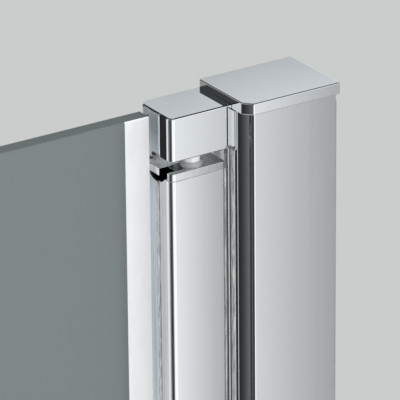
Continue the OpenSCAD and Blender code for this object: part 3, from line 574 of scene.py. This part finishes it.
def crown(shape, start, end, bulge=0.0, lean=0.0, strips=1, past=0.0):
    """Moves the upright face from start to end, both (x, y) in mm, out by a parabola of
    that bulge. A negative lean sinks the face's end by as much, a positive one its start,
    and a corner that goes on for past mm beyond the end sinks with it."""
    first, last = (Vector((x, y, 0)) * MM for x, y in (start, end))
    along = (last - first).normalized()
    outwards = Vector((along.y, -along.x, 0))
    length = (last - first).length
    for step in range(1, strips):
        cut(shape, first + along * (length * step / strips), along)
    moved = 0
    for vertex in shape.verts:
        offset = vertex.co - first
        far, out = offset.dot(along) / length, offset.dot(outwards) / MM
        beyond = (far - 1) * length / MM
        if abs(out) < OFF_FACE and -PAST_END < far < 1 + PAST_END:
            moves = bulge * 4 * far * (1 - far) + lean * far - max(lean, 0)
            vertex.co += outwards * (MM * moves)
            moved += 1
        elif 0 < beyond < past + NEAR and -past - NEAR < out < OFF_FACE and past:
            vertex.co += outwards * (MM * lean)
    return moved


def ease_flank(shape, x_flank, y_start, y_end, sink):
    """Cuts a flank at y_start and sinks its front end at y_end, which starts the corner."""
    cut(shape, (0, y_start * MM, 0), (0, 1, 0))
    return crown(shape, (x_flank, y_start), (x_flank, y_end), lean=-sink)


print("points within", OFF_FACE, "mm of a face move with it")

# %% [markdown]
# ### Wall covers and caps
#
# The cover's front corner is a stepped bevel: a wide facet that starts at the jamb, a
# narrow ledge, and the plain edge of the front. The facet is crowned until its ends
# differ by 17 degrees, so it runs from near black to grey, and the ledge is drawn out
# into two thin slants, which catch the light as lines. The caps have a facet too, a
# little proud of the cover's.

# %% wall covers
# In mm: the cover's facet and how deep it starts, its crown, and the ledge's place in the
# solid, with (depth, new distance from the side, new depth) for its two corners
FACET_ACROSS, FACET_DEEP, EDGE_DEEP = 3.1, 4.7, 3.1
FACET_BULGE, FACET_LEAN, FACET_STRIPS = 0.21, 0.85, 14
LEDGE_AT = 4.0
LEDGE = ((EDGE_DEEP, 2.9, 1.07), (0.0, 3.8, 0.0))


def facet_of(plan, mirrored, at_side, at_front):
    """A corner facet's ends from left to right, both given as (inwards, deep) in mm."""
    left, front, right, _ = plan
    if mirrored:
        return [(right - inwards, front + deep) for inwards, deep in (at_front, at_side)]
    return [(left + inwards, front + deep) for inwards, deep in (at_side, at_front)]


for name in ("cover_profile", "strike_cover"):
    shape, plan, mirrored = merged_copy(name), plan_of(name), name.startswith("strike")
    facet = facet_of(plan, mirrored, (0, EDGE_DEEP + FACET_DEEP), (FACET_ACROSS, EDGE_DEEP))
    moved = crown(shape, *facet, bulge=FACET_BULGE, strips=FACET_STRIPS,
                  lean=FACET_LEAN if mirrored else -FACET_LEAN)
    side, front, sign = (plan[2], plan[1], -1) if mirrored else (plan[0], plan[1], 1)
    for deep, x_now, y_now in LEDGE:
        for vertex in shape.verts:
            if (abs(vertex.co.x / MM - side - sign * LEDGE_AT) < NEAR
                    and abs(vertex.co.y / MM - front - deep) < NEAR):
                vertex.co.x, vertex.co.y = (side + sign * x_now) * MM, (front + y_now) * MM
                moved += 1
    cover = piece_of("rounded_" + name, shape, "frame", [bright_aluminium], name, edge=0.35,
                     rounds=3, keep=at_x(side), small=at_x(side + sign * LEDGE[0][1]))
    print(name, moved, "vertices moved,", face_count(cover), "faces")

# %% caps
# In mm: the facet and its lean, and the front's lean and its margin at the other side
CAP_FACET, CAP_LEAN, CAP_FRONT_LEAN, CAP_MARGIN = 4.3, 0.35, 0.13, 0.5
for name in ("top_cap", "strike_top_cap", "bottom_cap", "strike_bottom_cap"):
    shape, plan, mirrored = merged_copy(name), plan_of(name), name.startswith("strike")
    facet = facet_of(plan, mirrored, (0, CAP_FACET), (CAP_FACET, 0))
    moved = crown(shape, *facet, bulge=FACET_BULGE, strips=FACET_STRIPS,
                  lean=-CAP_LEAN if mirrored else CAP_LEAN)
    left_end, right_end = (CAP_MARGIN, CAP_FACET) if mirrored else (CAP_FACET, CAP_MARGIN)
    moved += crown(shape, (plan[0] + left_end, plan[1]), (plan[2] - right_end, plan[1]),
                   lean=CAP_FRONT_LEAN)
    cap = piece_of("rounded_" + name, shape, "frame", [chrome], name, edge=0.45, rounds=3,
                   small=upright)
    print(name, moved, "vertices moved,", face_count(cap), "faces")

# %% [markdown]
# ### Pivot blocks
#
# Each block is a chrome plated casting. Its front is one large mirror, leaned by a third
# of a degree, and the part of its flank that faces the glass carries a near black strip:
# painted shade, standing for a deep gap in the block's side.

# %% pivot blocks
# How much of a normal lies along the axis that its face looks along
FACING = 0.9
# In mm: the strip of painted gap shade, counted from the front, its rim and its sinking,
# the radius of the block's corner, and how far its flank and its front are leaned
GAP_SHADE_FROM, GAP_SHADE_TO, GAP_SHADE_RIM, GAP_SHADE_SINK = 3.3, 9.3, 0.25, 0.1
BLOCK_ROUND, FLANK_SINK, FRONT_LEAN = 2.4, 0.1, 0.17
FRONT_STRIPS = 6


def painted_gap_flank(shape, x_flank, y_front):
    """Cuts a strip of the flank free, sinks it by a hair and gives it painted gap shade."""
    for depth in (GAP_SHADE_FROM, GAP_SHADE_TO):
        cut(shape, (0, (y_front + depth) * MM, 0), (0, 1, 0))
    strip = []
    for face in shape.faces:
        middle = face.calc_center_median() / MM
        if (face.normal.x < -FACING and abs(middle.x - x_flank) < NEAR
                and GAP_SHADE_FROM < middle.y - y_front < GAP_SHADE_TO):
            strip.append(face)
    bmesh.ops.inset_individual(shape, faces=strip, thickness=GAP_SHADE_RIM * MM,
                               depth=-GAP_SHADE_SINK * MM)
    for face in strip:
        face.material_index = 1
    return len(strip)


for name in ("top_pivot_block", "bottom_pivot_block"):
    shape = merged_copy(name)
    left, front, right, _ = plan_of(name)
    strips = painted_gap_flank(shape, left, front)
    moved = crown(shape, (left + BLOCK_ROUND, front), (right, front), lean=-FRONT_LEAN,
                  strips=FRONT_STRIPS)
    moved += ease_flank(shape, left, front + GAP_SHADE_FROM, front + BLOCK_ROUND, FLANK_SINK)
    # Its second finish is the near black painted shade of the flank's gap
    block = piece_of("polished_" + name, shape, "frame", [chrome, gap_shade_black], name,
                     edge=0.6, rounds=4, keep=at_x(right))
    # The strips it prints are the painted gap shade on the flank
    print(name, strips, "rubber strips,", moved, "vertices moved,", face_count(block), "faces")

# %% [markdown]
# ### Jamb
#
# The jamb is a thin drawn bar between the block and the cover. Its front corner is
# rounded almost to a bead, and that shows as a dark line between two white ones.

# %% jamb
bead = at_x(plan_of("top_pivot_block")[2])
jamb = piece_of("rounded_hinge_jamb", merged_copy("hinge_jamb"), "frame", [bright_aluminium],
                "hinge_jamb", edge=0.5, rounds=5, keep=at_x(plan_of("hinge_jamb")[2]),
                small=lambda edge: not bead(edge))
print("jamb", face_count(jamb), "faces")

# %% [markdown]
# ### Hinge profile
#
# The leaf's box section is one long drawn bar. Its front is crowned a little and leans
# away from the glass, so it shades from nearly white at the glass to grey at the jamb.
# Its flank beside the glass keeps the die's finish, and bends in where the corner starts.

# %% hinge profile
# In mm: the radii of the bar's front corners, how deep its flank begins, and its sinking
GLASS_ROUND, JAMB_ROUND, FLANK_DEEP, BAR_SINK = 2.5, 1.2, 3.9, 0.18


def dress_bar(shape, left, front, right, bulge, lean, strips):
    """Crowns and leans the front of the bar, and eases its flank beside the glass."""
    moved = crown(shape, (left + GLASS_ROUND, front), (right - JAMB_ROUND, front),
                  bulge=bulge, lean=-lean, strips=strips, past=JAMB_ROUND)
    return moved + ease_flank(shape, left, front + FLANK_DEEP, front + GLASS_ROUND, BAR_SINK)


shape = merged_copy("hinge_profile")
_, front, right, _ = plan_of("hinge_profile")
left = plan_of("top_end_cap")[0]
moved = dress_bar(shape, left, front, right, bulge=0.02, lean=0.21, strips=12)
for face in shape.faces:
    middle = face.calc_center_median() / MM
    if (face.normal.x < -FACING and abs(middle.x - left) < NEAR
            and middle.y > front + FLANK_DEEP):
        face.material_index = 1
hinge_bar = piece_of("rounded_hinge_profile", shape, "leaf", [bright_aluminium, drawn_flank],
                     "hinge_profile", edge=0.25, keep=at_x(right))
print("hinge profile", moved, "vertices moved,", face_count(hinge_bar), "faces")

# %% [markdown]
# ### End caps
#
# The profile's two end caps are slices off a thicker bar: their outlines were drawn and
# polished with the profile's, so the sides shine, and the sawn faces are matt and rough.

# %% end caps
# Faces whose normals stand up by more than this are sawn
SAWN = 0.5
for name in ("top_end_cap", "bottom_end_cap"):
    shape = merged_copy(name)
    for face in shape.faces:
        if abs(face.normal.z) > SAWN:
            face.material_index = 1
    left, front, right, _ = plan_of(name)
    moved = dress_bar(shape, left, front, right, bulge=0.03, lean=0.27, strips=6)
    cap = piece_of("polished_" + name, shape, "leaf", [bright_aluminium, sawn_aluminium], name,
                   edge=0.25, keep=at_x(right))
    print(name, moved, "vertices moved,", face_count(cap), "faces")

# %% [markdown]
# ### Glass pane
#
# One pane, four surfaces. The front and back are satin etched, the narrow band by the
# hinge is clear over the tape, and the sides are ground, but for the one that stands in
# the gap at the hinge, which is polished and lit.

# %% glass pane
BAND, GROUND, LIT = 1, 2, 3
shape = merged_copy("glass_pane")
x_tape = plan_of("bonding_tape")[0] * MM
cut(shape, (x_tape, 0, 0), (1, 0, 0))
for face in shape.faces:
    if face.normal.x > FACING:
        face.material_index = LIT
    elif abs(face.normal.y) < FACING:
        face.material_index = GROUND
    elif face.calc_center_median().x > x_tape:
        face.material_index = BAND
pane = piece_of("etched_glass_pane", shape, "leaf",
                [satin_glass, band_glass, ground_glass, lit_edge], "glass_pane", edge=0.5,
                rounds=1)
print("pane", face_count(pane), "faces")

# %% [markdown]
# ### Handles
#
# Both handles are polished bars with their rims broken and a small fillet where the post
# meets the bar, as a handle that is gripped every day has.

# %% handles
for name in ("outer_handle", "inner_handle"):
    handle = piece_of("polished_" + name, merged_copy(name), "leaf", [chrome], name, edge=0.5,
                      rounds=3)
    print(name, face_count(handle), "faces")

# %% [markdown]
# ## Grown by Geometry Nodes
#
# Screws and their covers repeat, and a soft seal follows a rule, so their shapes are
# node trees with named inputs. A tree could stay live, but the part needs plain meshes:
# each runs once, over points taken from the solids, and its result is kept.


# %% the start and the end of a tree
def tree_with(title, sizes):
    """A Geometry Nodes tree and what it works with, by name: its Geometry, its sizes, its
    Finish, and the X, Y and Z of the point it is at."""
    tree = bpy.data.node_groups.new(title, "GeometryNodeTree")
    for way in ("INPUT", "OUTPUT"):
        tree.interface.new_socket(name="Geometry", in_out=way, socket_type="NodeSocketGeometry")
    for name, value in sizes.items():
        kind = "NodeSocketInt" if isinstance(value, int) else "NodeSocketFloat"
        socket = tree.interface.new_socket(name=name, in_out="INPUT", socket_type=kind)
        socket.default_value = value
    tree.interface.new_socket(name="Finish", in_out="INPUT", socket_type="NodeSocketMaterial")
    inputs = add(tree, "NodeGroupInput").outputs
    position = add(tree, "GeometryNodeInputPosition").outputs[0]
    spot = add(tree, "ShaderNodeSeparateXYZ", Vector=position).outputs
    return tree, {socket.name: socket for socket in (*inputs, *spot)}


def close_tree(tree, geometry, finish):
    """Ends a tree in real faces with the finish."""
    real = add(tree, "GeometryNodeRealizeInstances", Geometry=geometry)
    dressed = add(tree, "GeometryNodeSetMaterial", Geometry=real.outputs[0], Material=finish)
    add(tree, "NodeGroupOutput", Geometry=dressed.outputs[0])


def close_with_rows(tree, instance, given):
    """Ends a tree in one instance on every point, its Z turned to the point's axis."""
    axis = add(tree, "GeometryNodeInputNamedAttribute", data_type="FLOAT_VECTOR", Name="axis")
    turn = add(tree, "FunctionNodeAlignRotationToVector", axis="Z", Vector=axis.outputs[0])
    row = add(tree, "GeometryNodeInstanceOnPoints", Points=given["Geometry"],
              Instance=instance, Rotation=turn.outputs[0])
    close_tree(tree, row.outputs[0], given["Finish"])


print("a tree starts with its sizes and ends in real faces")


# %% growing a piece
def grown(name, tree, shape, sizes, finish, body, stands_for):
    """Runs a tree once over a bmesh and keeps the plain result in a solid's place."""
    mesh = bpy.data.meshes.new(name + "_start")
    shape.to_mesh(mesh)
    shape.free()
    piece = bpy.data.objects.new(name, mesh)
    bpy.context.scene.collection.objects.link(piece)
    growth = piece.modifiers.new("growth", "NODES")
    growth.node_group = tree
    for socket in tree.interface.items_tree:
        if socket.name in sizes:
            growth[socket.identifier] = sizes[socket.name]
        elif socket.name == "Finish":
            growth[socket.identifier] = finish
    seen = piece.evaluated_get(bpy.context.evaluated_depsgraph_get())
    result = bpy.data.meshes.new_from_object(seen)
    piece.modifiers.remove(growth)
    result.name = name
    piece.data = result
    result.shade_smooth()
    result.set_sharp_from_angle(angle=SHARP)
    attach(piece, body)
    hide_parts(stands_for)
    return piece


print("each piece takes one run of its tree")


# %% where the screws are
def places_on(name, facing):
    """A point on each screw's head, with the way that the head faces as its axis."""
    solid, points, done = merged_copy(name), bmesh.new(), set()
    axis = points.verts.layers.float_vector.new("axis")
    # Each screw is an island of the mesh: all that can be reached from one of its corners
    for start in solid.verts:
        if start in done:
            continue
        done.add(start)
        reached, island = [start], []
        while reached:
            vertex = reached.pop()
            island.append(vertex.co.copy())
            for other in [edge.other_vert(vertex) for edge in vertex.link_edges]:
                if other not in done:
                    done.add(other)
                    reached.append(other)
        low, high = [Vector([pick(spot[i] for spot in island) for i in range(3)])
                     for pick in (min, max)]
        middle, half = (low + high) / 2, (high - low) / 2
        way = facing(middle)
        head = points.verts.new(middle + Vector([half[i] * way[i] for i in range(3)]))
        head[axis] = way
    solid.free()
    return points


def to_back(_):
    """Screws and covers of the wall profiles face the shower, wherever they are."""
    return Vector((0, 1, 0))


def to_near_end(middle):
    """Screws in the leaf's ends face up in its upper metre and down in its lower one."""
    return Vector((0, 0, 1 if middle.z > 1 else -1))


print("a point for each screw, with its axis")

# %% [markdown]
# ### Socket screws
#
# A screw is turned, so one tree turns all of them: a sphere's rings are put on the
# profile of a screw, from the bottom of the hexagon socket over the rounded head to the
# tip. A revolved curve could do it too, but not the hexagon.

# %% sizes and outline of a screw
# Both sizes of screw, in metres. Under its head a screw steps from one radius to another
CAP_SCREW = {"Head radius": 0.0029, "Head height": 0.00145, "Under head": 0.00145,
             "Shank": 0.00145, "Length": 0.014, "Socket": 0.002, "Socket depth": 0.001,
             "Rounding": 0.00015}
COVER_SCREW = {"Head radius": 0.0036, "Head height": 0.002, "Under head": 0.0036,
               "Shank": 0.002, "Length": 0.00775, "Socket": 0.003, "Socket depth": 0.0012,
               "Rounding": 0.0003}
# A screw's outline as (radius, height), from the middle of its socket to that of its tip.
# The sphere has a ring for each corner, and its poles are the first and the last
OUTLINE = ((0.0, "socket floor"), ("hexagon", "socket floor"), ("hexagon", 0.0), ("rim", 0.0),
           ("Head radius", "rim's foot"), ("Under head", "head's foot"),
           ("Shank", "head's foot"), ("Shank", "tip's start"), ("tip", "end"), (0.0, "end"))
RINGS, SEGMENTS = len(OUTLINE) - 1, 48
print(len(OUTLINE), "corners in a screw's outline")

# %% arithmetic of the outline
SIXTH_TURN = math.pi / 3
turned, given = tree_with("turned socket screw", CAP_SCREW)
ball = add(turned, "GeometryNodeMeshUVSphere", Segments=SEGMENTS, Rings=RINGS, Radius=1.0)
# Each row is one step of arithmetic: its result's name, and what it is worked out from,
# by name or as a number
for result, operation, first, second in (
        ("from the pole", "ARCCOSINE", "Z", 0.0),
        ("ring", "MULTIPLY", "from the pole", RINGS / math.pi),
        ("ring", "ROUND", "ring", 0.0),
        ("around", "ARCTAN2", "Y", "X"),
        ("in its sixth", "FLOORED_MODULO", "around", SIXTH_TURN),
        ("off the flat", "SUBTRACT", "in its sixth", SIXTH_TURN / 2),
        ("flat's share", "COSINE", "off the flat", 0.0),
        ("flat", "MULTIPLY", "Socket", 0.5),
        ("hexagon", "DIVIDE", "flat", "flat's share"),
        ("rim", "SUBTRACT", "Head radius", "Rounding"),
        ("tip", "SUBTRACT", "Shank", "Rounding"),
        ("socket floor", "SUBTRACT", 0.0, "Socket depth"),
        ("rim's foot", "SUBTRACT", 0.0, "Rounding"),
        ("head's foot", "SUBTRACT", 0.0, "Head height"),
        ("end", "SUBTRACT", 0.0, "Length"),
        ("tip's start", "ADD", "end", "Rounding")):
    step = add(turned, "ShaderNodeMath", operation=operation, in0=given.get(first, first),
               in1=given.get(second, second))
    given[result] = step.outputs[0]
print(turned.name, "with", len(turned.nodes), "nodes so far")

# %% the tree that turns a screw
switches = []
for corners in zip(*OUTLINE):
    switch = add(turned, "GeometryNodeIndexSwitch", data_type="FLOAT", Index=given["ring"])
    while len(switch.index_switch_items) < len(corners):
        switch.index_switch_items.new()
    for place, corner in enumerate(corners, start=1):
        if corner in given:
            turned.links.new(given[corner], switch.inputs[place])
        else:
            switch.inputs[place].default_value = corner
    switches.append(switch.outputs[0])
radius, level = switches
flat_spot = add(turned, "ShaderNodeCombineXYZ", X=given["X"], Y=given["Y"])
way_out = add(turned, "ShaderNodeVectorMath", operation="NORMALIZE", in0=flat_spot.outputs[0])
out = add(turned, "ShaderNodeVectorMath", operation="SCALE", in0=way_out.outputs[0],
          Scale=radius)
up = add(turned, "ShaderNodeCombineXYZ", Z=level)
there = add(turned, "ShaderNodeVectorMath", operation="ADD", in0=out.outputs[0],
            in1=up.outputs[0])
screw = add(turned, "GeometryNodeSetPosition", Geometry=ball.outputs["Mesh"],
            Position=there.outputs[0])
screw = add(turned, "GeometryNodeMergeByDistance", Geometry=screw.outputs[0], Distance=1e-6)
close_with_rows(turned, screw.outputs[0], given)
print(turned.name, "with", len(turned.nodes), "nodes")

# %% the screws
for name, body, sizes, facing in (("end_cap_screws", "leaf", CAP_SCREW, to_near_end),
                                  ("cover_screws", "frame", COVER_SCREW, to_back),
                                  ("strike_cover_screws", "frame", COVER_SCREW, to_back)):
    screws = grown("socket_" + name, turned, places_on(name, facing), sizes, steel, body, name)
    print(screws.name, len(screws.data.polygons), "faces")

# %% [markdown]
# ### Screw covers
#
# The covers are thin pressed domes with a rounded rim. The upper half of a sphere
# becomes the outside and the lower half is folded up inside it, so the wall is real.

# %% screw covers
# A cover's sizes, in metres
DOME = {"Radius": 0.0056, "Height": 0.0031, "Wall": 0.0005}
# A power under 1 makes a sphere's half into a dome with a flat top and a steep rim.
# Whatever is below the equator is folded up inside
FULLNESS, EQUATOR = 0.45, -0.01
dome, given = tree_with("domed screw cover", DOME)
ball = add(dome, "GeometryNodeMeshUVSphere", Segments=40, Rings=20, Radius=1.0)
for result, operation, first, second in (
        ("inside", "LESS_THAN", "Z", EQUATOR),
        ("thinner", "MULTIPLY", "inside", "Wall"),
        ("wide", "SUBTRACT", "Radius", "thinner"),
        ("tall", "SUBTRACT", "Height", "thinner"),
        ("rise", "ABSOLUTE", "Z", 0.0),
        ("rise", "POWER", "rise", FULLNESS),
        ("across", "MULTIPLY", "X", "wide"),
        ("deep", "MULTIPLY", "Y", "wide"),
        ("high", "MULTIPLY", "rise", "tall"),
        ("below the top", "SUBTRACT", "high", "Height")):
    step = add(dome, "ShaderNodeMath", operation=operation, in0=given.get(first, first),
               in1=given.get(second, second))
    given[result] = step.outputs[0]
there = add(dome, "ShaderNodeCombineXYZ", X=given["across"], Y=given["deep"],
            Z=given["below the top"])
shell = add(dome, "GeometryNodeSetPosition", Geometry=ball.outputs["Mesh"],
            Position=there.outputs[0])
close_with_rows(dome, shell.outputs[0], given)
for name in ("screw_covers", "strike_screw_covers"):
    covers = grown("domed_" + name, dome, places_on(name, to_back), DOME, chrome, "frame", name)
    print(covers.name, len(covers.data.polygons), "faces")

# %% [markdown]
# ### Soft seals
#
# A push-in seal is never quite straight: pressed in by hand, its lip wanders by a tenth
# of a millimetre every few centimetres, and that breaks its shine into streaks. The
# lips are the solids, cut along the bar and moved by a noise that grows from the root.

# %% soft seals
# In metres: where the lip's root and its free edge are in x, and how high the waves are
SEAL = {"Root": 0.0, "Lip": 0.001, "Waviness": 0.0001, "Waves per metre": 45.0, "Seed": 3}
# Edges longer than LONG, in metres, get one cut every 5.5 mm
LONG, CUTS = 1.0, 360
wavy, given = tree_with("wavy seal lip", SEAL)
free = add(wavy, "ShaderNodeMapRange", Value=given["X"], From_Min=given["Root"],
           From_Max=given["Lip"])
along = add(wavy, "ShaderNodeMath", operation="MULTIPLY_ADD", in0=given["Z"],
            in1=given["Waves per metre"], in2=given["Seed"])
waves = add(wavy, "ShaderNodeTexNoise", noise_dimensions="1D", W=along.outputs[0], Scale=1.0,
            Detail=2.0)
swing = add(wavy, "ShaderNodeMapRange", Value=waves.outputs[0], To_Min=-1.0, To_Max=1.0,
            **MIDDLE)
swing = add(wavy, "ShaderNodeMath", operation="MULTIPLY", in0=swing.outputs["Result"],
            in1=given["Waviness"])
swing = add(wavy, "ShaderNodeMath", operation="MULTIPLY", in0=swing.outputs[0],
            in1=free.outputs["Result"])
aside = add(wavy, "ShaderNodeCombineXYZ", Y=swing.outputs[0])
bent = add(wavy, "GeometryNodeSetPosition", Geometry=given["Geometry"],
           Offset=aside.outputs[0])
close_tree(wavy, bent.outputs[0], given["Finish"])

for name, body, root_right, seed in (("jamb_seal", "frame", True, 3),
                                     ("hinge_lip_seal", "leaf", False, 11)):
    left, _, right, _ = plan_of(name)
    root, lip = (right, left) if root_right else (left, right)
    shape = merged_copy(name)
    long_edges = [edge for edge in shape.edges if edge.calc_length() > LONG]
    bmesh.ops.subdivide_edges(shape, edges=long_edges, cuts=CUTS, use_grid_fill=True)
    seal = grown("wavy_" + name, wavy, shape,
                 dict(SEAL, Root=root * MM, Lip=lip * MM, Seed=seed), pressed_pvc, body, name)
    print(seal.name, len(seal.data.polygons), "faces")

# %% [markdown]
# ## Finishes on the solids
#
# A solid whose shape is right needs no new mesh, only its finish. The others get theirs
# as well, so that the part looks right without its dressed pieces.

# %% finishes on the solids
FINISHES = {
    bright_aluminium: ("cover_profile", "hinge_profile", "hinge_jamb", "strike_cover",
                       "threshold_rail"),
    mill_aluminium: ("wall_channel", "strike_channel"),
    sawn_aluminium: ("top_end_cap", "bottom_end_cap"),
    chrome: ("top_cap", "bottom_cap", "top_pivot_block", "bottom_pivot_block",
             "strike_top_cap", "strike_bottom_cap", "outer_handle", "inner_handle",
             "screw_covers", "strike_screw_covers"),
    steel: ("cover_screws", "block_screws", "bottom_pivot_pin", "strike_cover_screws",
            "end_cap_screws", "handle_studs", "handle_grub_screws"),
    acetal: ("top_pivot_pin", "lower_lift_cam", "upper_lift_cam", "handle_washers"),
    # The bush's grey is painted shade under the block
    shaded_acetal: ("top_bush",),
    satin_glass: ("glass_pane",),
    clear_pvc: ("drip_seal", "closing_seal", "strike_seal"),
    pressed_pvc: ("jamb_seal", "flank_gasket", "hinge_lip_seal"),
    foam_tape: ("bonding_tape",),
    magnet_rubber: ("closing_magnet", "strike_magnet"),
}
for finish, names in FINISHES.items():
    for name in names:
        nodes[name].data.materials.clear()
        nodes[name].data.materials.append(finish)
print(sum(len(names) for names in FINISHES.values()), "solids finished")
